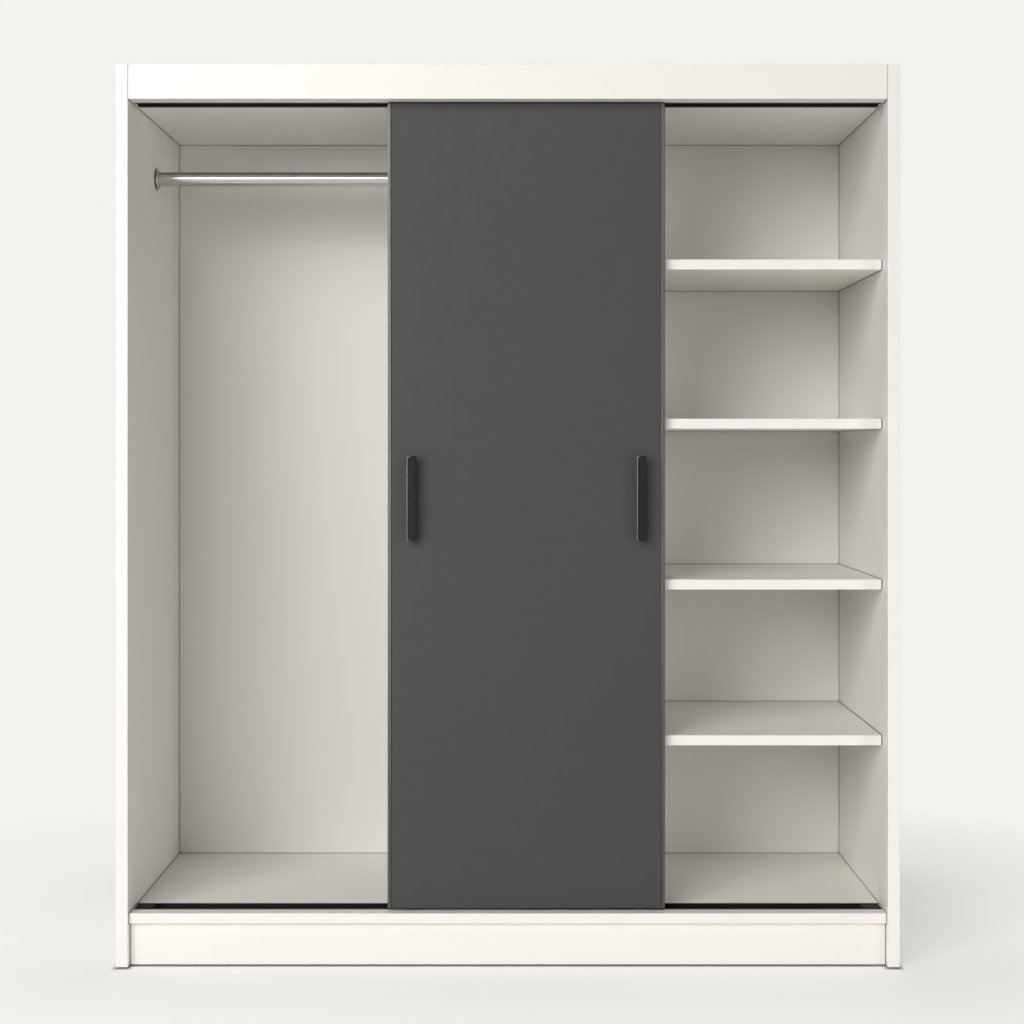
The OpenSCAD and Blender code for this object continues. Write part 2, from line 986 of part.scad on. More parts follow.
// Upright edge profile, drawn on the left: a rounded nose and a tongue that enters the door
module door_edge(x, side) {
    nose_r = 1.5;
    mid_y = door_y + door_t / 2;
    color(black_metal)
        translate([x, 0, door_z0])
            mirror([side > 0 ? 1 : 0, 0, 0])
                linear_extrude(door_z1 - door_z0) {
                    for (y = [door_y + nose_r, door_rear_y - nose_r])
                        translate([nose_r, y])
                            circle(r = nose_r);
                    translate([0, door_y + nose_r])
                        square([edge_w, door_t - 2 * nose_r]);
                    translate([nose_r, door_y])
                        square([edge_w - nose_r, door_t]);
                    translate([edge_w - eps, mid_y - tongue_t / 2])
                        square([eps + edge_groove + tongue_l - tongue_gap, tongue_t]);
                }
}

module door_edge_left() {
    door_edge(door_left, -1);
}

module door_edge_right() {
    door_edge(door_right, 1);
}

module handle_screw_set(hole) {
    head_y = door_rear_y - handle_head_in;
    for (x = handle_xs)
        for (z = [handle_z - handle_post_dz, handle_z + handle_post_dz])
            if (hole) {
                rod([x, door_rear_y + eps, z], handle_head_bore, handle_head_in + eps, to_front);
                rod([x, door_rear_y, z], screw_d + 2 * snug, door_t + eps, to_front);
            } else {
                pan_screw([x, head_y, z], screw_d, head_y - door_y + handle_screw_bite, to_front);
            }
}

// Bar handle: a bevelled bar on two round posts
module handle(x) {
    bevel = handle_bevel;
    bar_y = door_y - handle_out;
    w = handle_w / 2;
    l = handle_l / 2;
    color(black_metal)
        translate([x, bar_y, handle_z])
            difference() {
                union() {
                    intersection() {
                        translate([0, 0, -l])
                            linear_extrude(handle_l)
                                polygon([[-w + bevel, 0], [w - bevel, 0], [w, bevel], [w, handle_t],
                                         [-w, handle_t], [-w, bevel]]);
                        along_x(-w - eps, w + eps)
                            polygon([[0, -l + bevel], [0, l - bevel], [bevel, l], [handle_t, l],
                                     [handle_t, -l], [bevel, -l]]);
                    }
                    for (dz = [-handle_post_dz, handle_post_dz])
                        rod([0, handle_t - eps, dz], post_d, handle_out - handle_t + eps, to_rear);
                }
                for (dz = [-handle_post_dz, handle_post_dz])
                    rod([0, handle_out + eps, dz],
                        screw_d + 2 * snug, handle_screw_bite + 2 * eps, to_front);
            }
}

module handle_left() {
    handle(handle_xs[0]);
}

module handle_right() {
    handle(handle_xs[1]);
}

module handle_screws() {
    color(zinc)
        handle_screw_set(false);
}

// A screw that holds a fitting of some thickness to the rear of the door, and its bore
module door_screw(x, z, thickness) {
    pan_screw([x, door_rear_y + thickness, z], screw_d, screw_bite + thickness, to_front);
}

module door_bore(x, z, thickness) {
    rod([x, door_rear_y + thickness + eps, z],
        screw_d + 2 * snug, screw_bite + thickness + 2 * eps, to_front);
}

// Screws of the roller brackets: the upper pair holds the bracket, the lower pair clamps
// the carrier through its slots
module bracket_screw_set(hole) {
    for (x = roller_xs) {
        for (dx = [-plate_screw_dx, plate_screw_dx])
            if (hole)
                door_bore(x + dx, plate_screw_z, plate_t);
            else
                door_screw(x + dx, plate_screw_z, plate_t);
        for (dx = [-clamp_screw_dx, clamp_screw_dx])
            if (hole)
                door_bore(x + dx, clamp_screw_z, plate_t);
            else
                door_screw(x + dx, clamp_screw_z, carrier_y + carrier_t - door_rear_y);
    }
}

module roller_brackets() {
    color(zinc)
        difference() {
            for (x = roller_xs) {
                block([x - plate_w / 2, door_rear_y, plate_z0],
                      [x + plate_w / 2, door_rear_y + plate_t, plate_z1]);
                block([x - lug_w / 2, door_rear_y, plate_z1 - plate_t],
                      [x + lug_w / 2, lug_rear_y, plate_z1]);
            }
            bracket_screw_set(true);
            for (x = roller_xs)
                rod([x, adjuster_y, plate_z1 + eps], adjuster_d + 2 * snug, plate_t + 2 * eps, downward);
        }
}

module roller_carriers() {
    slot = [clamp_slot_w, carrier_t + 2 * eps, clamp_slot_h];
    color(zinc)
        difference() {
            for (x = roller_xs) {
                block([x - carrier_w / 2, carrier_y, carrier_z0],
                      [x + carrier_w / 2, carrier_y + carrier_t, carrier_z1]);
                block([x - lug_w / 2, carrier_y, carrier_z1 - carrier_t],
                      [x + lug_w / 2, lug_rear_y, carrier_z1]);
                rod([x, carrier_y, wheel_z], boss_d, track_y - wheel_w / 2 - loose - carrier_y, to_rear);
            }
            for (x = roller_xs) {
                rod([x, adjuster_y, carrier_z1 + eps],
                    adjuster_d + 2 * snug, carrier_t + 2 * eps, downward);
                rod([x, carrier_y - eps, wheel_z], axle_d + 2 * snug, 3 * wheel_w, to_rear);
                for (dx = [-clamp_screw_dx, clamp_screw_dx])
                    translate([x + dx, carrier_y + carrier_t / 2, clamp_screw_z])
                        cube(slot, center = true);
            }
        }
}

module adjuster_screws() {
    color(bright_steel)
        for (x = roller_xs)
            difference() {
                union() {
                    rod([x, adjuster_y, plate_z1], adjuster_head_d, adjuster_head_h, upward);
                    rod([x, adjuster_y, plate_z1], adjuster_d, adjuster_l, downward);
                }
                translate([x, adjuster_y, plate_z1 + adjuster_head_h])
                    cylinder(d = hex_key, h = hex_key, center = true, $fn = 6);
            }
}

module roller_axles() {
    head_y = track_y + wheel_w / 2 + loose;
    color(bright_steel)
        for (x = roller_xs) {
            rod([x, carrier_y, wheel_z], axle_d, head_y - carrier_y + eps, to_rear);
            rod([x, head_y, wheel_z], axle_head_d, axle_head_h, to_rear);
        }
}

module bracket_screws() {
    color(zinc)
        bracket_screw_set(false);
}

// Grooved nylon wheel that straddles the rib of the floor track
module roller_wheel(x) {
    half = wheel_w / 2;
    groove = rib_w / 2 + rib_side_gap;
    bevel = wheel_bevel;
    bore = bearing_d / 2 + snug;
    color(nylon)
        translate([x, track_y, wheel_z])
            rotate(to_rear)
                rotate_extrude($fn = 96)
                    polygon([[bore, -half], [rim_r - bevel, -half], [rim_r, -half + bevel],
                             [rim_r, -groove - bevel], [tread_r, -groove], [tread_r, groove],
                             [rim_r, groove + bevel], [rim_r, half - bevel],
                             [rim_r - bevel, half], [bore, half]]);
}

module roller_wheel_left() {
    roller_wheel(roller_xs[0]);
}

module roller_wheel_right() {
    roller_wheel(roller_xs[1]);
}

// Ball bearing in the middle of a roller wheel, with a shallow seal groove on each face
module roller_bearing(x) {
    half = bearing_w / 2;
    color(bright_steel)
        translate([x, track_y, wheel_z])
            rotate(to_rear)
                rotate_extrude($fn = 96)
                    difference() {
                        translate([axle_d / 2 + running, -half])
                            square([(bearing_d - axle_d) / 2 - running, bearing_w]);
                        for (y = [-half, half])
                            translate([(bearing_d + axle_d) / 4, y])
                                square([seal_w, 2 * seal_depth], center = true);
                    }
}

module roller_bearing_left() {
    roller_bearing(roller_xs[0]);
}

module roller_bearing_right() {
    roller_bearing(roller_xs[1]);
}

module guide_screw_set(hole) {
    for (x = roller_xs)
        for (dx = [-guide_screw_dx, guide_screw_dx])
            for (z = guide_screw_zs)
                if (hole)
                    door_bore(x + dx, z, ear_t);
                else
                    door_screw(x + dx, z, ear_t);
}

// Housing of a top guide: a block with a bore for the plunger and a slot for its tab
module guide_housings() {
    slot_low = tab_z - plunger_travel - loose;
    color(black_plastic)
        difference() {
            for (x = roller_xs) {
                block([x - housing_w / 2, door_rear_y, housing_z0],
                      [x + housing_w / 2, door_rear_y + housing_l, housing_z1]);
                block([x - ear_w / 2, door_rear_y, housing_z0 + ear_inset],
                      [x + ear_w / 2, door_rear_y + ear_t, housing_z1 - ear_inset]);
            }
            guide_screw_set(true);
            for (x = roller_xs) {
                rod([x, track_y, spring_z0], plunger_bore_d, housing_z1 - spring_z0 + eps, upward);
                block([x - tab_w / 2 - loose, track_y, slot_low],
                      [x + tab_w / 2 + loose, door_rear_y + housing_l + eps, tab_z + tab_h + loose]);
            }
        }
}

module guide_screws() {
    color(zinc)
        guide_screw_set(false);
}

// Sprung plunger that carries a guide wheel and can be pulled down by its tab
module guide_plunger(x) {
    color(nylon)
        translate([x, track_y, 0]) {
            translate([0, 0, plunger_z0])
                cylinder(d = plunger_d, h = plunger_z1 - plunger_z0);
            translate([0, 0, plunger_z1 - eps])
                cylinder(d = neck_d, h = guide_wheel_z - loose - plunger_z1 + eps);
            translate([0, 0, plunger_z1 - eps])
                cylinder(d = guide_pin_d, h = guide_wheel_z + guide_wheel_h + loose - plunger_z1 + 2 * eps);
            translate([0, 0, guide_wheel_z + guide_wheel_h + loose])
                cylinder(d = neck_d, h = guide_cap_h);
            block([-tab_w / 2, 0, tab_z],
                  [tab_w / 2, door_rear_y + housing_l + tab_out - track_y, tab_z + tab_h]);
        }
}

module guide_plunger_left() {
    guide_plunger(roller_xs[0]);
}

module guide_plunger_right() {
    guide_plunger(roller_xs[1]);
}

module guide_wheel(x) {
    bevel = guide_wheel_bevel;
    bore = guide_pin_d / 2 + running;
    color(black_plastic)
        translate([x, track_y, guide_wheel_z])
            rotate_extrude($fn = 72)
                polygon([[bore, 0], [guide_r - bevel, 0], [guide_r, bevel],
                         [guide_r, guide_wheel_h - bevel], [guide_r - bevel, guide_wheel_h],
                         [bore, guide_wheel_h]]);
}

module guide_wheel_left() {
    guide_wheel(roller_xs[0]);
}

module guide_wheel_right() {
    guide_wheel(roller_xs[1]);
}

// Compression spring: a wire swept along a helix, one ring of points at each step
function spring_ring(turn, z) = [
    for (i = [0 : spring_sides - 1])
        let (a = 360 * i / spring_sides, r = spring_r + spring_wire / 2 * cos(a))
            [r * cos(turn), r * sin(turn), z + spring_wire / 2 * sin(a)]
];

module guide_spring(x) {
    sides = spring_sides;
    steps = spring_steps;
    rise = plunger_z0 - spring_z0 - spring_wire - pocket;
    points = [
        for (s = [0 : steps])
            each spring_ring(360 * spring_turns * s / steps, rise * s / steps)
    ];
    walls = [
        for (s = [0 : steps - 1]) for (i = [0 : sides - 1])
            let (a = s * sides + i, b = s * sides + (i + 1) % sides)
                each [[a, b, b + sides], [a, b + sides, a + sides]]
    ];
    first = [for (i = [sides - 1 : -1 : 0]) i];
    last = [for (i = [0 : sides - 1]) steps * sides + i];
    color(bright_steel)
        translate([x, track_y, spring_z0 + (spring_wire + pocket) / 2])
            polyhedron(points, concat(walls, [first, last]));
}

module guide_spring_left() {
    guide_spring(roller_xs[0]);
}

module guide_spring_right() {
    guide_spring(roller_xs[1]);
}

side_panel(-1);  // side_panel_left
side_panel(1);  // side_panel_right
top_panel();
bottom_panel();
partition();
back_panel_left();
back_panel_right();
top_fascia();
fascia_brackets();
fascia_screws();
front_plinth();
rear_plinth();
plinth_braces();
plinth_blocks();
plinth_screws();
floor_glides();
shelf_1();
shelf_2();
shelf_3();
shelf_4();
shelf_pins();
clothes_rail();
rail_flange_left();
rail_flange_right();
rail_screws();
top_track();
bottom_track();
track_screws();
track_stops();
cam_locks();
cam_bolts();
panel_dowels();
partition_screws();
back_nails();
wall_brackets();
wall_bracket_screws();
door_panel();
door_edge_left();
door_edge_right();
handle_left();
handle_right();
handle_screws();
roller_brackets();
roller_carriers();
adjuster_screws();
roller_axles();
bracket_screws();
guide_housings();
guide_screws();
guide_spring_left();
guide_spring_right();
roller_wheel_left();
roller_wheel_right();
roller_bearing_left();
roller_bearing_right();
guide_plunger_left();
guide_plunger_right();
guide_wheel_left();
guide_wheel_right();
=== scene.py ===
# Looks of a sliding door wardrobe: boards with rounded edge banding, a dark door with slim metal
# edges and bar handles, sunken black tracks, a steel clothes rail and all the fittings inside.
import json
import math

import bmesh
import bpy
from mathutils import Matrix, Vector


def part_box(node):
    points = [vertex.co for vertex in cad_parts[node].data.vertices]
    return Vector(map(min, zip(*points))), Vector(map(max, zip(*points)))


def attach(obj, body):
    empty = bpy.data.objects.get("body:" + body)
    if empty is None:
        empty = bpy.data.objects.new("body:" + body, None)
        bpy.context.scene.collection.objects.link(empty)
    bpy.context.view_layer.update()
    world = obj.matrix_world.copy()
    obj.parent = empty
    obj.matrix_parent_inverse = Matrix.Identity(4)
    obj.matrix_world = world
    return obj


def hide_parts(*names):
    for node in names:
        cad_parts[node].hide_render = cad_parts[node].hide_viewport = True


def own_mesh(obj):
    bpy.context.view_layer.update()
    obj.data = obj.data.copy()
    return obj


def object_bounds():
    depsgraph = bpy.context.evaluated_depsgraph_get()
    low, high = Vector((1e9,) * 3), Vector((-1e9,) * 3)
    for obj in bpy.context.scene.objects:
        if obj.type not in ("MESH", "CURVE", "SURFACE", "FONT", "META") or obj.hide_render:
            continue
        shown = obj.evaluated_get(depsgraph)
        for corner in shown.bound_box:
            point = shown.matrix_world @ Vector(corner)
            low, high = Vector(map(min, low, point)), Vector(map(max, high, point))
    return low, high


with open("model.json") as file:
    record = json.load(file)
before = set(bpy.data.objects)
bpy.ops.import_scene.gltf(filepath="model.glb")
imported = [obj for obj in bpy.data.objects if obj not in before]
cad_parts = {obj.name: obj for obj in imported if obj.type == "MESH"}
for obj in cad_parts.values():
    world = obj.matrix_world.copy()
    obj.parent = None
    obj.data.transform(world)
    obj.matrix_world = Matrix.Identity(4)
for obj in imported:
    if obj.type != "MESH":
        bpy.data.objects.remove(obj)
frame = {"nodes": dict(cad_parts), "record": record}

CAD_BOUNDS = [list(corner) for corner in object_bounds()]
NODES = frame["nodes"]
RECORD = frame["record"]
NODE_BODY = {n: body for body, names in RECORD["behaviour"]["bodies"].items() for n in names}
NODE_SLOT = {row["node"]: row["material_slot"] for row in RECORD["subparts"]}
LOW, HIGH = (Vector(corner) for corner in CAD_BOUNDS)
MM = 0.001


# ---------------------------------------------------------------- materials

# Painted shade in the corners between boards: the reach of the ambient occlusion that darkens the base
# colour there, and how dark it gets
PAINTED_CORNER_SHADE = (6.5 * MM, 0.33)


class Shader:
    """A material with a Principled shader, and short calls for the nodes that feed it."""

    def __init__(self, name, base, roughness, metallic=0.0, **sockets):
        self.material = bpy.data.materials.new(name)
        self.material.use_nodes = True
        self.tree = self.material.node_tree
        self.bsdf = self.tree.nodes["Principled BSDF"]
        self.base = base
        self.bsdf.inputs["Base Color"].default_value = (*base, 1)
        self.bsdf.inputs["Roughness"].default_value = roughness
        self.bsdf.inputs["Metallic"].default_value = metallic
        for socket, value in sockets.items():
            self.bsdf.inputs[socket.replace("_", " ")].default_value = value
        self.coordinates = self.tree.nodes.new("ShaderNodeTexCoord").outputs["Object"]

    def link(self, source, target):
        self.tree.links.new(source, target)

    def mapped(self, scale):
        node = self.tree.nodes.new("ShaderNodeMapping")
        node.inputs["Scale"].default_value = scale
        self.link(self.coordinates, node.inputs["Vector"])
        return node.outputs["Vector"]

    def noise(self, scale, detail=3.0, roughness=0.5, stretch=(1, 1, 1)):
        node = self.tree.nodes.new("ShaderNodeTexNoise")
        node.inputs["Scale"].default_value = scale
        node.inputs["Detail"].default_value = detail
        node.inputs["Roughness"].default_value = roughness
        self.link(self.mapped(stretch), node.inputs["Vector"])
        return node.outputs["Fac"]

    def cells(self, scale, stretch=(1, 1, 1), output="Color"):
        node = self.tree.nodes.new("ShaderNodeTexVoronoi")
        node.inputs["Scale"].default_value = scale
        self.link(self.mapped(stretch), node.inputs["Vector"])
        return node.outputs[output]

    def remap(self, value, low, high, start=0.3, end=0.7):
        node = self.tree.nodes.new("ShaderNodeMapRange")
        node.inputs["From Min"].default_value = start
        node.inputs["From Max"].default_value = end
        node.inputs["To Min"].default_value = low
        node.inputs["To Max"].default_value = high
        self.link(value, node.inputs["Value"])
        return node.outputs["Result"]

    def ramp(self, value, stops):
        node = self.tree.nodes.new("ShaderNodeValToRGB")
        elements = node.color_ramp.elements
        while len(elements) < len(stops):
            elements.new(0.5)
        for element, (place, colour) in zip(elements, stops):
            element.position = place
            element.color = (*colour, 1)
        self.link(value, node.inputs["Fac"])
        return node.outputs["Color"]

    def mix(self, factor, first, second):
        node = self.tree.nodes.new("ShaderNodeMix")
        node.data_type = "RGBA"
        for socket, value in (("Factor", factor), ("A", first), ("B", second)):
            target = next(i for i in node.inputs if i.name == socket and i.enabled)
            if isinstance(value, bpy.types.NodeSocket):
                self.link(value, target)
            else:
                target.default_value = (*value, 1)
        return next(o for o in node.outputs if o.enabled)

    def colour(self, source):
        self.link(source, self.bsdf.inputs["Base Color"])

    def vary(self, value, spread):
        """Lightens and darkens the base colour by spread where value swings."""
        low = tuple(c * (1 - spread) for c in self.base)
        high = tuple(min(1, c * (1 + spread)) for c in self.base)
        self.colour(self.ramp(value, [(0.3, low), (0.7, high)]))

    def rough(self, value, low, high):
        self.link(self.remap(value, low, high), self.bsdf.inputs["Roughness"])

    def paint_corner_shade(self, reach, dark):
        """Paints shade into the base colour in tight corners, where the boards meet, from ambient
        occlusion.
        """
        node = self.tree.nodes.new("ShaderNodeAmbientOcclusion")
        node.samples = 8
        node.inputs["Distance"].default_value = reach
        bare = self.bsdf.inputs["Base Color"].links[0].from_socket
        shaded = tuple(c * dark for c in self.base)
        self.colour(self.mix(self.remap(node.outputs["AO"], 0, 1, 0.5, 0.78), shaded, bare))

    def bump(self, height, distance, strength=1.0):
        node = self.tree.nodes.new("ShaderNodeBump")
        node.inputs["Distance"].default_value = distance
        node.inputs["Strength"].default_value = strength
        self.link(height, node.inputs["Height"])
        previous = self.bsdf.inputs["Normal"]
        if previous.is_linked:
            self.link(previous.links[0].from_socket, node.inputs["Normal"])
        self.link(node.outputs["Normal"], previous)


def melamine(name, base, roughness, grain, spread, gloss=0.5, corner_shade=None):
    """Melamine-faced board: a pressed pearl texture, a faint cloudiness and, when asked, painted shade
    in its corners.
    """
    s = Shader(name, base, roughness, Specular_IOR_Level=gloss)
    s.vary(s.noise(2.5, 3), spread)
    if corner_shade:
        # painted shade: darkens the base colour in the corners where boards meet
        s.paint_corner_shade(*corner_shade)
    s.rough(s.noise(35, 4), roughness - 0.05, roughness + 0.06)
    s.bump(s.noise(grain, 2), 0.05 * MM, 0.35)
    s.bump(s.noise(6, 2), 0.3 * MM, 0.12)
    return s.material


def edge_band(name, base, roughness):
    """Plastic edge banding: smoother than the board, with faint streaks along the edge and painted shade
    in its corners.
    """
    s = Shader(name, base, roughness)
    s.vary(s.noise(30, 2), 0.012)
    # painted shade in the corners where the band meets other boards
    s.paint_corner_shade(*PAINTED_CORNER_SHADE)
    s.rough(s.noise(12, 3), roughness - 0.04, roughness + 0.05)
    s.bump(s.noise(500, 2, stretch=(1, 1, 0.08)), 0.02 * MM, 0.3)
    return s.material


def particle_board():
    """Raw particle board: pressed chips of several tones, coarse in the middle."""
    s = Shader("particle_board", (0.50, 0.36, 0.21), 0.85)
    chips = s.cells(420, (1, 1, 2.2))
    tones = s.ramp(s.remap(chips, 0, 1, 0, 1), [(0.0, (0.34, 0.22, 0.11)), (0.45, (0.53, 0.38, 0.22)),
                                              (0.75, (0.62, 0.47, 0.29)), (1.0, (0.72, 0.58, 0.39))])
    s.colour(s.mix(s.remap(s.noise(300, 5), 0.0, 0.5), tones, (0.40, 0.27, 0.15)))
    s.bump(s.noise(700, 4), 0.25 * MM, 0.8)
    return s.material


def hardboard():
    """Brown fibreboard, as on the rear of a back panel: matted fibres and a fine screen mark."""
    s = Shader("hardboard_brown", (0.27, 0.165, 0.09), 0.7)
    s.vary(s.noise(240, 6, 0.65, stretch=(1, 1, 0.35)), 0.28)
    s.rough(s.noise(90, 3), 0.6, 0.8)
    s.bump(s.noise(900, 3, stretch=(1, 1, 0.5)), 0.12 * MM, 0.6)
    return s.material


def bare_wood():
    """Planed beech: long grain lines with darker flecks."""
    s = Shader("bare_beech", (0.56, 0.38, 0.21), 0.6)
    grain = s.noise(60, 5, 0.6, stretch=(1, 1, 0.08))
    flecks = s.remap(s.noise(400, 2, stretch=(1, 1, 0.15)), 0, 0.6, 0.6, 0.72)
    tones = s.ramp(grain, [(0.3, (0.47, 0.30, 0.16)), (0.6, (0.62, 0.43, 0.25))])
    s.colour(s.mix(flecks, tones, (0.33, 0.19, 0.10)))
    s.bump(grain, 0.15 * MM, 0.5)
    return s.material


def anodised(name, base, roughness, stretch, spread, metallic, gloss):
    """Dark anodised aluminium with the drawn lines of an extrusion."""
    s = Shader(name, base, roughness, metallic, Specular_IOR_Level=gloss)
    lines = s.noise(90, 3, stretch=stretch)
    s.vary(lines, spread)
    s.rough(lines, roughness - 0.07, roughness + 0.1)
    s.bump(lines, 0.03 * MM, 0.5)
    return s.material


def powder_coat():
    """Black powder coat: a fine orange-peel surface."""
    s = Shader("powder_coat_black", (0.004, 0.004, 0.0039), 0.24, Specular_IOR_Level=0.3)
    s.vary(s.noise(25, 3), 0.15)
    s.rough(s.noise(60, 3), 0.2, 0.28)
    s.bump(s.noise(650, 2), 0.05 * MM, 0.5)
    return s.material


def polished_steel():
    """Polished tube: faint polishing lines round the tube and slight waviness."""
    s = Shader("steel_polished", (0.54, 0.525, 0.505), 0.14, 1.0)
    s.rough(s.noise(40, 3, stretch=(8, 1, 1)), 0.1, 0.2)
    s.vary(s.noise(6, 3), 0.04)
    s.bump(s.noise(300, 2, stretch=(6, 1, 1)), 0.01 * MM, 0.4)
    return s.material


def plated(name, base, roughness, spangle):
    """Plated steel: cloudy crystals in tone and in gloss."""
    s = Shader(name, base, roughness, 1.0)
    s.vary(s.cells(spangle, output="Distance"), 0.1)
    s.rough(s.noise(120, 4), roughness - 0.08, roughness + 0.1)
    s.bump(s.noise(500, 3), 0.02 * MM, 0.5)
    return s.material


def moulded(name, base, roughness, grain, gloss=0.5):
    """Moulded plastic with a fine spark-eroded grain."""
    s = Shader(name, base, roughness, Specular_IOR_Level=gloss)
    s.vary(s.noise(50, 3), 0.05)
    s.rough(s.noise(90, 3), roughness - 0.05, roughness + 0.08)
    s.bump(s.noise(grain, 3), 0.05 * MM, 0.5)
    return s.material


WHITE = (0.86, 0.838, 0.798)
# The white boards, the white band and the white back get painted shade in their corners.
M = {
    "white": melamine("melamine_white", WHITE, 0.42, 900, 0.008, corner_shade=PAINTED_CORNER_SHADE),
    "white_band": edge_band("edge_band_white", (0.87, 0.85, 0.815), 0.36),
    "chip": particle_board(),
    "back_white": melamine("lacquer_white_matt", (0.84, 0.818, 0.778), 0.55, 500, 0.01, corner_shade=PAINTED_CORNER_SHADE),
    "back_brown": hardboard(),
    "door": melamine("melamine_dark_grey", (0.0435, 0.0413, 0.0398), 0.62, 800, 0.04, 0.3),
    "track": anodised("anodised_black_track", (0.006, 0.0058, 0.005), 0.5, (0.02, 8, 8), 0.3, 0.0, 0.12),
    "profile": anodised("anodised_dark_profile", (0.1, 0.097, 0.092), 0.3, (8, 8, 0.02), 0.12, 0.9, 0.5),
    "handle": powder_coat(),
    "rail": polished_steel(),
    "zinc": plated("zinc_plated", (0.60, 0.62, 0.64), 0.38, 260),
    "nickel": plated("nickel_plated", (0.66, 0.64, 0.60), 0.22, 400),
    "black_zinc": plated("black_zinc_plated", (0.05, 0.05, 0.052), 0.4, 260),
    "nylon": moulded("nylon_white", (0.80, 0.79, 0.75), 0.48, 900),
    "plastic": moulded("plastic_black", (0.009, 0.009, 0.009), 0.55, 1100, 0.12),
    "inlay": moulded("inlay_black", (0.01, 0.0095, 0.009), 0.6, 700, 0.1),
    "wood": bare_wood(),
}
SLOT_LOOK = {
    "white_board": "white", "back_board": "back_white", "raw_wood": "wood", "door_board": "door",
    "black_aluminium": "track", "black_lacquer": "handle", "black_zinc": "black_zinc",
    "polished_steel": "rail", "zinc_steel": "zinc", "bright_steel": "nickel", "nylon": "nylon",
    "black_plastic": "plastic",
}


# ---------------------------------------------------------------- mesh tools

# Radii of a board's, the door's and a back panel's rounded edges, and the shortest that is rounded
BAND_ROUND = 1.2 * MM
DOOR_ROUND = 0.8 * MM
SHEET_ROUND = 0.3 * MM
BOARD_SHORTEST = 12 * MM
# Faces that turn less than this, in degrees, are one face, and edges that turn more are rounded
FLAT_TURN = 0.5
EDGE_TURN = 35
# Angles from which shading shows an edge, in degrees, on boards and castings and on drawn profiles
SHARP_TURN = 40
PROFILE_SHARP_TURN = 30

DIRECTIONS = {
    "-x": Vector((-1, 0, 0)), "+x": Vector((1, 0, 0)),
    "-y": Vector((0, -1, 0)), "+y": Vector((0, 1, 0)),
    "-z": Vector((0, 0, -1)), "+z": Vector((0, 0, 1)),
}


def put(name, bm, body, materials, sharp_turn=SHARP_TURN):
    """Turns a bmesh into a piece that rides on a body, with shading that keeps flat faces flat."""
    mesh = bpy.data.meshes.new(name)
    bm.normal_update()
    bm.to_mesh(mesh)
    bm.free()
    mesh.shade_smooth()
    mesh.set_sharp_from_angle(angle=math.radians(sharp_turn))
    for key in materials:
        mesh.materials.append(M[key])
    piece = bpy.data.objects.new(name, mesh)
    bpy.context.scene.collection.objects.link(piece)
    weighted = piece.modifiers.new("even_normals", "WEIGHTED_NORMAL")
    weighted.keep_sharp = True
    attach(piece, body)
    return piece


def rounded_copy(node, radius, shortest, segments=3):
    """The node's own shape, with its long outer edges rounded."""
    bm = bmesh.new()
    bm.from_mesh(NODES[node].data)
    bmesh.ops.remove_doubles(bm, verts=bm.verts, dist=1e-6)
    bmesh.ops.dissolve_limit(bm, angle_limit=math.radians(FLAT_TURN), verts=bm.verts, edges=bm.edges)
    edges = [
        e for e in bm.edges
        if e.is_manifold and e.is_convex and e.calc_length() > shortest
        and e.calc_face_angle() > math.radians(EDGE_TURN)
    ]
    bmesh.ops.bevel(bm, geom=edges, offset=radius, segments=segments, profile=0.5,
                    affect="EDGES", clamp_overlap=True)
    return bm


def board(node, thin, banded, face="white", band="white_band", radius=BAND_ROUND):
    """A faced board: its two broad faces, its banded edges, and its raw edges."""
    bm = rounded_copy(node, radius, BOARD_SHORTEST)
    broad = DIRECTIONS["+" + thin]
    banded = [DIRECTIONS[d] for d in banded.split()]
    bm.normal_update()
    for f in bm.faces:
        if any(f.normal.dot(d) > 0.3 for d in banded):
            f.material_index = 1
        elif abs(f.normal.dot(broad)) > 0.5:
            f.material_index = 0
        else:
            f.material_index = 2
    piece = put(node + "_board", bm, NODE_BODY[node], [face, band, "chip"])
    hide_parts(node)


def smooth_copy(node, look, radius, shortest, segments):
    """A metal or plastic part: the node's shape with broken edges and one finish."""
    bm = rounded_copy(node, radius, shortest, segments)
    piece = put(node + "_finished", bm, NODE_BODY[node], [look])
    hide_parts(node)


# ---------------------------------------------------------------- boards

BOARDS = {
    "side_panel_left": ("x", "-y +z"),
    "side_panel_right": ("x", "-y +z"),
    "top_panel": ("z", "-y -x +x"),
    "bottom_panel": ("z", "-y -x +x"),
    "partition": ("x", "-y"),
    "top_fascia": ("y", "+z -z"),
    "front_plinth": ("y", "-z"),
    "rear_plinth": ("y", "-z"),
    "plinth_braces": ("x", ""),
    "shelf_1": ("z", "-y"),
    "shelf_2": ("z", "-y"),
    "shelf_3": ("z", "-y"),
    "shelf_4": ("z", "-y"),
}
for name, (thin, banded) in BOARDS.items():
    board(name, thin, banded)


def back_panel(node):
    """White inside, brown outside: the two faces of a lacquered fibreboard."""
    bm = rounded_copy(node, SHEET_ROUND, BOARD_SHORTEST, 1)
    bm.normal_update()
    for f in bm.faces:
        f.material_index = 0 if f.normal.y < -0.5 else 1
    piece = put(node + "_sheet", bm, NODE_BODY[node], ["back_white", "back_brown"])
    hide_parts(node)


for name in ("back_panel_left", "back_panel_right"):
    back_panel(name)

board("door_panel", "y", "-z +z -x +x", face="door", band="door", radius=DOOR_ROUND)

# ---------------------------------------------------------------- metal and plastic

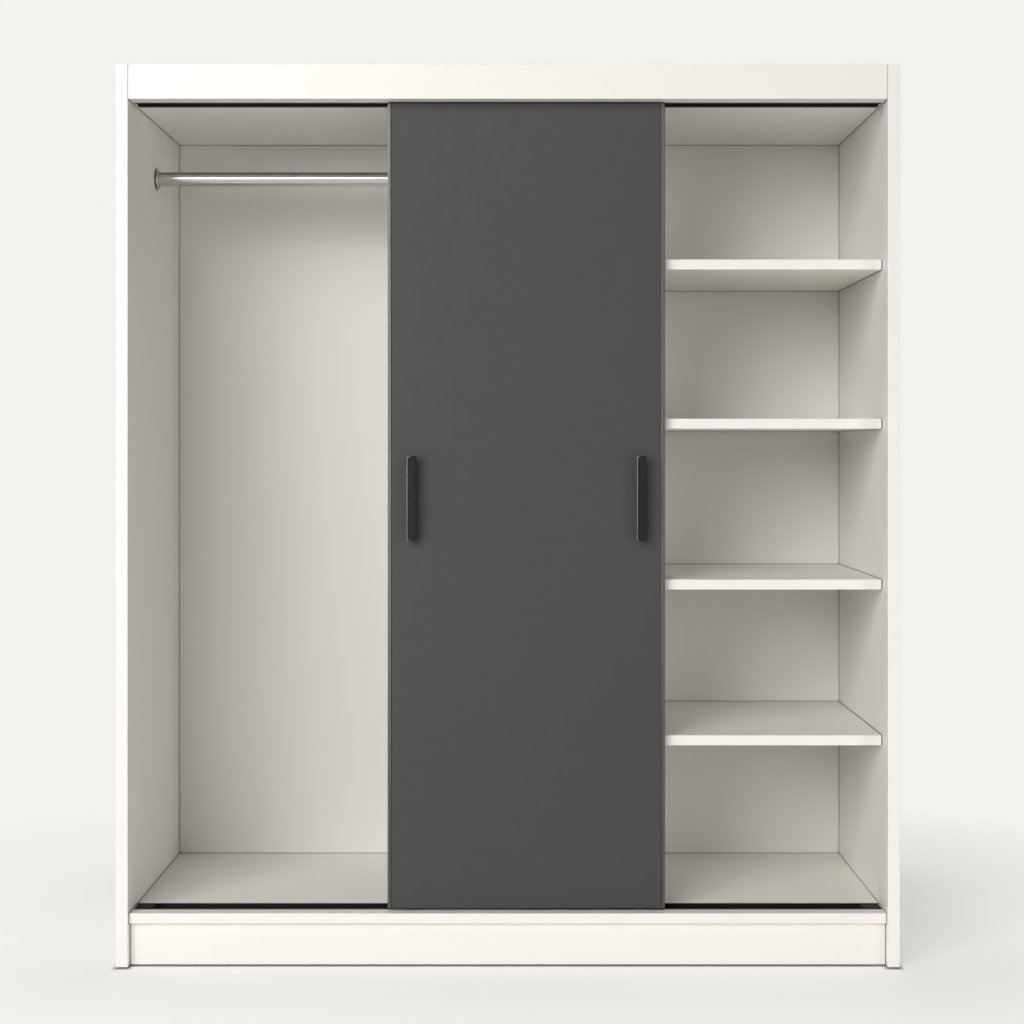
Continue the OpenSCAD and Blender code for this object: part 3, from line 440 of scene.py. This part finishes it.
# Nodes, their look, radius of the rounded edges, shortest edge that is rounded, steps round it
FINISHES = [
    ("handle_left handle_right", "handle", 1.5 * MM, 6 * MM, 4),
    ("top_track bottom_track", "track", 0.25 * MM, 100 * MM, 2),
    ("track_stops guide_housings", "plastic", 0.5 * MM, 5 * MM, 2),
    ("roller_brackets roller_carriers wall_brackets fascia_brackets", "zinc", 0.4 * MM, 8 * MM, 2),
    ("plinth_blocks", "wood", 0.8 * MM, 20 * MM, 2),
]
for nodes, *finish in FINISHES:
    for name in nodes.split():
        smooth_copy(name, *finish)

# Door edge profiles: a rounded nose, a flat face, and a bead beside the shadow gap at the board
EDGE_GAP = 1.2 * MM
EDGE_NOSE = 1.5 * MM
EDGE_BEAD = 1.3 * MM
EDGE_FACE_BACK = 0.8 * MM
TONGUE_T = 1.6 * MM


def arc(middle, radius, start, sweep, steps=8):
    """Points of an arc about the middle, from a start angle through a sweep, in degrees."""
    turns = [math.radians(start + sweep * i / steps) for i in range(steps + 1)]
    return [(middle[0] + radius * math.cos(a), middle[1] + radius * math.sin(a)) for a in turns]


def prism(outline, low, high):
    """A bmesh of an outline in X and Y that stands between two heights."""
    bm = bmesh.new()
    rings = [[bm.verts.new((x, y, z)) for x, y in outline] for z in (low, high)]
    for i in range(len(outline)):
        j = (i + 1) % len(outline)
        bm.faces.new((rings[0][i], rings[0][j], rings[1][j], rings[1][i]))
    bm.faces.new(list(reversed(rings[0])))
    bm.faces.new(rings[1])
    bmesh.ops.recalc_face_normals(bm, faces=bm.faces)
    return bm


def door_edge(node, side):
    """One edge profile. It is drawn from the outer edge inwards, so side flips the right one."""
    low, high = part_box(node)
    board_low, board_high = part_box("door_panel")
    outer, board_edge = (low.x, board_low.x) if side < 0 else (high.x, board_high.x)
    width = abs(board_edge - outer) - EDGE_GAP
    tip = high.x - low.x
    middle = (low.y + high.y) / 2
    dip = math.degrees(math.asin(1 - EDGE_FACE_BACK / EDGE_BEAD))
    outline = arc((EDGE_NOSE, low.y + EDGE_FACE_BACK + EDGE_NOSE), EDGE_NOSE, 180, 90)
    outline += arc((width - EDGE_BEAD, low.y + EDGE_BEAD), EDGE_BEAD, 180 + dip, 180 - dip)
    outline += [
        (width, middle - TONGUE_T / 2), (tip, middle - TONGUE_T / 2),
        (tip, middle + TONGUE_T / 2), (width, middle + TONGUE_T / 2), (width, high.y),
    ]
    outline += arc((EDGE_NOSE, high.y - EDGE_NOSE), EDGE_NOSE, 90, 90)
    bm = prism([(outer - side * x, y) for x, y in outline], low.z, high.z)
    piece = put(node + "_profile", bm, NODE_BODY[node], ["profile"], PROFILE_SHARP_TURN)
    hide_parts(node)


for name, side in (("door_edge_left", -1), ("door_edge_right", 1)):
    door_edge(name, side)

# Clothes rail: half angles from the top of the tube, in degrees, and depths, for the dark inlay along
# its top and the grooves beside it, whose dark faces are painted reflection lines
INLAY_HALF = 36
INLAY_GAP = 2
GROOVE_FROM, GROOVE_TO = 46, 53
GROOVE_DEPTH = 0.7 * MM
RAIL_WALL = 1.5 * MM
# Flange: radius of its rounded edges, the shortest that is rounded, and the width of its dark rim, which
# is painted shade on the steel
FLANGE_ROUND = 0.6 * MM
FLANGE_SHORTEST = 0.5 * MM
FLANGE_RIM = 1.0 * MM


def rail_section():
    """(angle, depth, is dark) all round the outside of the tube, from its top. Dark faces take the black
    inlay material: the inlay, sized to paint the dark reflection band along the top, and the grooves,
    painted as dark reflection lines.
    """
    half = [(a, 0, True) for a in range(0, INLAY_HALF, 3)]
    half += [(INLAY_HALF, 0, True), (INLAY_HALF, GROOVE_DEPTH, True)]
    half += [(INLAY_HALF + INLAY_GAP, GROOVE_DEPTH, True), (INLAY_HALF + INLAY_GAP, 0, False)]
    half += [(a, 0, False) for a in range(INLAY_HALF + 2 * INLAY_GAP, GROOVE_FROM, 3)]
    half += [(GROOVE_FROM, 0, True), (GROOVE_FROM + 1, GROOVE_DEPTH, True)]
    half += [(GROOVE_TO - 1, GROOVE_DEPTH, True), (GROOVE_TO, 0, False)]
    half += [(a, 0, False) for a in range(GROOVE_TO + 4, 180, 4)]
    mirrored = [(-half[i][0], half[i][1], half[i - 1][2]) for i in range(len(half) - 1, 0, -1)]
    return half + [(180, 0, False)] + mirrored


def clothes_rail(node):
    """A steel tube with a dark inlay along its top, on which hangers slide quietly, and a fine groove at
    either side of it. The inlay is also sized to paint the tube's dark reflection band, and the grooves'
    faces are painted black as dark reflection lines."""
    low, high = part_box(node)
    middle_y, middle_z = (low.y + high.y) / 2, (low.z + high.z) / 2
    radius = (high.z - low.z) / 2
    turns = rail_section()
    bm = bmesh.new()
    rings = {}
    for x in (low.x, high.x):
        for inside in (False, True):
            rings[x, inside] = []
            for angle, depth, _ in turns:
                a = math.radians(angle)
                r = radius - (RAIL_WALL if inside else depth)
                point = (x, middle_y + r * math.sin(a), middle_z + r * math.cos(a))
                rings[x, inside].append(bm.verts.new(point))
    count = len(turns)
    for i in range(count):
        j = (i + 1) % count
        for first, second in (((low.x, False), (high.x, False)), ((high.x, True), (low.x, True)),
                              ((low.x, True), (low.x, False)), ((high.x, False), (high.x, True))):
            a, b = rings[first], rings[second]
            corners = []
            for vert in (a[i], a[j], b[j], b[i]):
                if not any((vert.co - c.co).length < 1e-7 for c in corners):
                    corners.append(vert)
            if len(corners) > 2:
                face = bm.faces.new(corners)
                outside = first == (low.x, False)
                # dark faces: the inlay, and painted reflection lines in the grooves
                face.material_index = 1 if outside and turns[i][2] else 0
    bmesh.ops.remove_doubles(bm, verts=bm.verts, dist=1e-7)
    bmesh.ops.recalc_face_normals(bm, faces=bm.faces)
    piece = put(node + "_tube", bm, NODE_BODY[node], ["rail", "inlay"], PROFILE_SHARP_TURN)
    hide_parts(node)


def rail_flange(node):
    """A pressed flange with a rounded rim, whose edge faces are painted dark with the black inlay
    material as shade.
    """
    bm = rounded_copy(node, FLANGE_ROUND, FLANGE_SHORTEST, 2)
    low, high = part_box(node)
    middle = (low + high) / 2
    rim = (high.z - low.z) / 2 - FLANGE_RIM
    bm.normal_update()
    for f in bm.faces:
        offset = f.calc_center_median() - middle
        at_rim = math.hypot(offset.y, offset.z) > rim
        # painted shade: the rim's edge faces take the black inlay material
        f.material_index = 1 if at_rim and abs(f.normal.x) < 0.8 else 0
    piece = put(node + "_finished", bm, NODE_BODY[node], ["rail", "inlay"])
    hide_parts(node)


clothes_rail("clothes_rail")
for name in ("rail_flange_left", "rail_flange_right"):
    rail_flange(name)



def guide_spring(node):
    """The wire of a guide's spring, on a mesh of its own. The real spring shortens as its plunger is
    pulled down; this piece keeps its shape.
    """
    bm = bmesh.new()
    bm.from_mesh(NODES[node].data)
    piece = put(node + "_wire", bm, NODE_BODY[node], ["nickel"])
    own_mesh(piece)
    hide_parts(node)


for side in ("left", "right"):
    guide_spring(f"guide_spring_{side}")

for name, node in NODES.items():
    if not node.hide_render:
        node.data.materials.clear()
        node.data.materials.append(M[SLOT_LOOK[NODE_SLOT[name]]])


# ---------------------------------------------------------------- stage, light and camera

BACKGROUND = (0.90, 0.885, 0.855)
# Share of the background's tone that the floor and cove reflect
STUDIO_ALBEDO = 0.54
# Strength of their own light at the wardrobe and further away, and where it has grown to that; the
# weaker light near the wardrobe is painted shade round it
GLOW_NEAR, GLOW_FAR = 0.57, 0.68
GLOW_REACH = 0.45
# Painted contact shadow: how far outside the wardrobe's feet the floor's own light begins again, with
# none under and right beside them
PAINTED_CONTACT_SHADE = 12 * MM


def box_distance(s, middle, half):
    """Distance on the floor from a box, which stands mirrored on both sides of the middle."""
    vector = s.coordinates
    for operation, value in (("ABSOLUTE", None), ("SUBTRACT", middle), ("ABSOLUTE", None),
                             ("SUBTRACT", half), ("MAXIMUM", (0, 0, 0))):
        node = s.tree.nodes.new("ShaderNodeVectorMath")
        node.operation = operation
        s.link(vector, node.inputs[0])
        if value is not None:
            node.inputs[1].default_value = value
        vector = node.outputs["Vector"]
    length = s.tree.nodes.new("ShaderNodeVectorMath")
    length.operation = "LENGTH"
    s.link(vector, length.inputs[0])
    return length.outputs["Value"]


def studio_surface(name, reach):
    """Pale studio surface. It takes the wardrobe's soft shadow near it, cast partly by the lamps and
    partly painted, as its own light grows weaker near the wardrobe and dies away under its feet, and
    turns into even light further away, so that the floor and the backdrop meet with no horizon."""
    s = Shader(name, tuple(c * STUDIO_ALBEDO for c in BACKGROUND), 0.9, Specular_IOR_Level=0.0)
    s.vary(s.noise(1.2, 2), 0.004)
    distance = box_distance(s, (0, 0, 0), (HIGH.x, HIGH.y, 0))
    s.bsdf.inputs["Emission Color"].default_value = (*BACKGROUND, 1)
    # painted shade: the floor's own light is weaker near the wardrobe
    glow = s.remap(distance, GLOW_NEAR, GLOW_FAR, 0, GLOW_REACH)
    plinth_y = -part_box("front_plinth")[0].y
    side_low, side_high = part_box("side_panel_right")
    foot_middle = ((side_low.x + side_high.x) / 2, 0, 0)
    foot_half = ((side_high.x - side_low.x) / 2, side_high.y, 0)
    # painted contact shadow: the own light fades out under the plinth and the side panels' feet
    for middle, half in (((0, 0, 0), (side_low.x, plinth_y, 0)), (foot_middle, foot_half)):
        near = box_distance(s, middle, half)
        product = s.tree.nodes.new("ShaderNodeMath")
        product.operation = "MULTIPLY"
        s.link(glow, product.inputs[0])
        s.link(s.remap(near, 0, 1, 0, PAINTED_CONTACT_SHADE), product.inputs[1])
        glow = product.outputs["Value"]
    s.link(glow, s.bsdf.inputs["Emission Strength"])
    light = s.tree.nodes.new("ShaderNodeEmission")
    light.inputs["Color"].default_value = (*BACKGROUND, 1)
    blend = s.tree.nodes.new("ShaderNodeMixShader")
    s.link(s.remap(distance, 0, 1, *reach), blend.inputs["Fac"])
    s.link(s.bsdf.outputs["BSDF"], blend.inputs[1])
    s.link(light.outputs["Emission"], blend.inputs[2])
    s.link(blend.outputs["Shader"], s.tree.nodes["Material Output"].inputs["Surface"])
    return s.material


def lathe(name, profile, steps=96):
    """A surface of revolution about Z through the origin."""
    bm = bmesh.new()
    rings = []
    for radius, height in profile:
        if radius == 0:
            rings.append([bm.verts.new((0, 0, height))])
        else:
            rings.append([
                bm.verts.new((radius * math.cos(a), radius * math.sin(a), height))
                for a in (2 * math.pi * i / steps for i in range(steps))
            ])
    for low, high in zip(rings, rings[1:]):
        for i in range(steps):
            j = (i + 1) % steps
            if len(low) == 1:
                bm.faces.new((low[0], high[i], high[j]))
            else:
                bm.faces.new((low[i], high[i], high[j], low[j]))
    mesh = bpy.data.meshes.new(name)
    bm.to_mesh(mesh)
    bm.free()
    mesh.shade_smooth()
    thing = bpy.data.objects.new(name, mesh)
    bpy.context.scene.collection.objects.link(thing)
    return thing


FLOOR_R = 3.5
COVE_R = 16.0
COVE_BEND = 5.0
COVE_HEIGHT = 18.0
floor = lathe("studio_floor", [(0, 0), (FLOOR_R, 0)])
floor.data.materials.append(studio_surface("studio_floor_pale", (0.25, 1.2)))
cove_profile = [(FLOOR_R, 0), (COVE_R - COVE_BEND, 0)]
cove_profile += [(COVE_R - COVE_BEND + COVE_BEND * math.sin(a), COVE_BEND - COVE_BEND * math.cos(a))
                 for a in (math.pi / 2 * i / 12 for i in range(1, 13))]
cove_profile.append((COVE_R, COVE_HEIGHT))
cove = lathe("studio_cove", cove_profile)
cove.data.materials.append(studio_surface("studio_cove_pale", (0.0, 0.1)))
cove.visible_diffuse = False


SOFT_WHITE = (1.0, 0.995, 0.985)


def area_light(name, place, target, size, power):
    data = bpy.data.lights.new(name, "AREA")
    data.shape = "RECTANGLE"
    data.size, data.size_y = size
    data.energy = power
    data.color = SOFT_WHITE
    lamp = bpy.data.objects.new(name, data)
    lamp.location = place
    lamp.rotation_euler = (Vector(target) - Vector(place)).to_track_quat("-Z", "Y").to_euler()
    lamp.visible_camera = False
    bpy.context.scene.collection.objects.link(lamp)
    return lamp


def reflector(name, place, target, size, radiance):
    """A bright card that only gloss shows: it draws the highlights along rounded edges."""
    bm = bmesh.new()
    x, y = size[0] / 2, size[1] / 2
    bm.faces.new([bm.verts.new(corner) for corner in ((-x, -y, 0), (x, -y, 0), (x, y, 0), (-x, y, 0))])
    mesh = bpy.data.meshes.new(name)
    bm.to_mesh(mesh)
    bm.free()
    glow = bpy.data.materials.new(name)
    glow.use_nodes = True
    shader = glow.node_tree.nodes["Principled BSDF"]
    shader.inputs["Base Color"].default_value = (0, 0, 0, 1)
    shader.inputs["Emission Color"].default_value = (1, 1, 1, 1)
    shader.inputs["Emission Strength"].default_value = radiance
    mesh.materials.append(glow)
    card = bpy.data.objects.new(name, mesh)
    card.location = place
    card.rotation_euler = (Vector(target) - Vector(place)).to_track_quat("-Z", "Y").to_euler()
    card.visible_camera = False
    card.visible_diffuse = False
    card.visible_shadow = False
    card.visible_transmission = False
    bpy.context.scene.collection.objects.link(card)


FRONT_MIDDLE = Vector((0, LOW.y, 1.05))
area_light("key_softbox", (-3.1, -6.0, 3.9), FRONT_MIDDLE, (4.6, 4.2), 405)
fill = area_light("right_fill", (4.3, -4.9, 1.7), FRONT_MIDDLE, (2.0, 2.4), 86)
fill.visible_glossy = False
area_light("rear_softbox", (-3.4, 4.0, 3.0), (0, HIGH.y, 1.05), (3.0, 3.0), 45)
area_light("roof_softbox", (0, 0.25, HIGH.z + 0.8), (0, 0.25, 0), (1.5, 0.4), 5)
reflector("left_card", (-4.2, -4.3, 1.1), (0, -4.3, 1.1), (5.6, 2.2), 15)

world = bpy.data.worlds.new("soft_surround")
world.use_nodes = True
world.node_tree.nodes["Background"].inputs["Color"].default_value = (1.0, 0.985, 0.955, 1)
world.node_tree.nodes["Background"].inputs["Strength"].default_value = 0.04
bpy.context.scene.world = world

# Camera straight on, a little above the wardrobe's middle, framed by a small shift
CAMERA_X = 0.026
CAMERA_DISTANCE = 3.945
CAMERA_HEIGHT = 1.204
camera_data = bpy.data.cameras.new("camera")
camera_data.sensor_width = 36
camera_data.lens = 59.77
camera_data.shift_x = -0.00684
camera_data.shift_y = -0.06055
camera_data.clip_end = 60
camera = bpy.data.objects.new("camera", camera_data)
camera.location = (CAMERA_X, LOW.y - CAMERA_DISTANCE, CAMERA_HEIGHT)
camera.rotation_euler = (math.radians(90), 0, 0)
bpy.context.scene.collection.objects.link(camera)
bpy.context.scene.camera = camera
bpy.context.scene.view_settings.view_transform = "Standard"
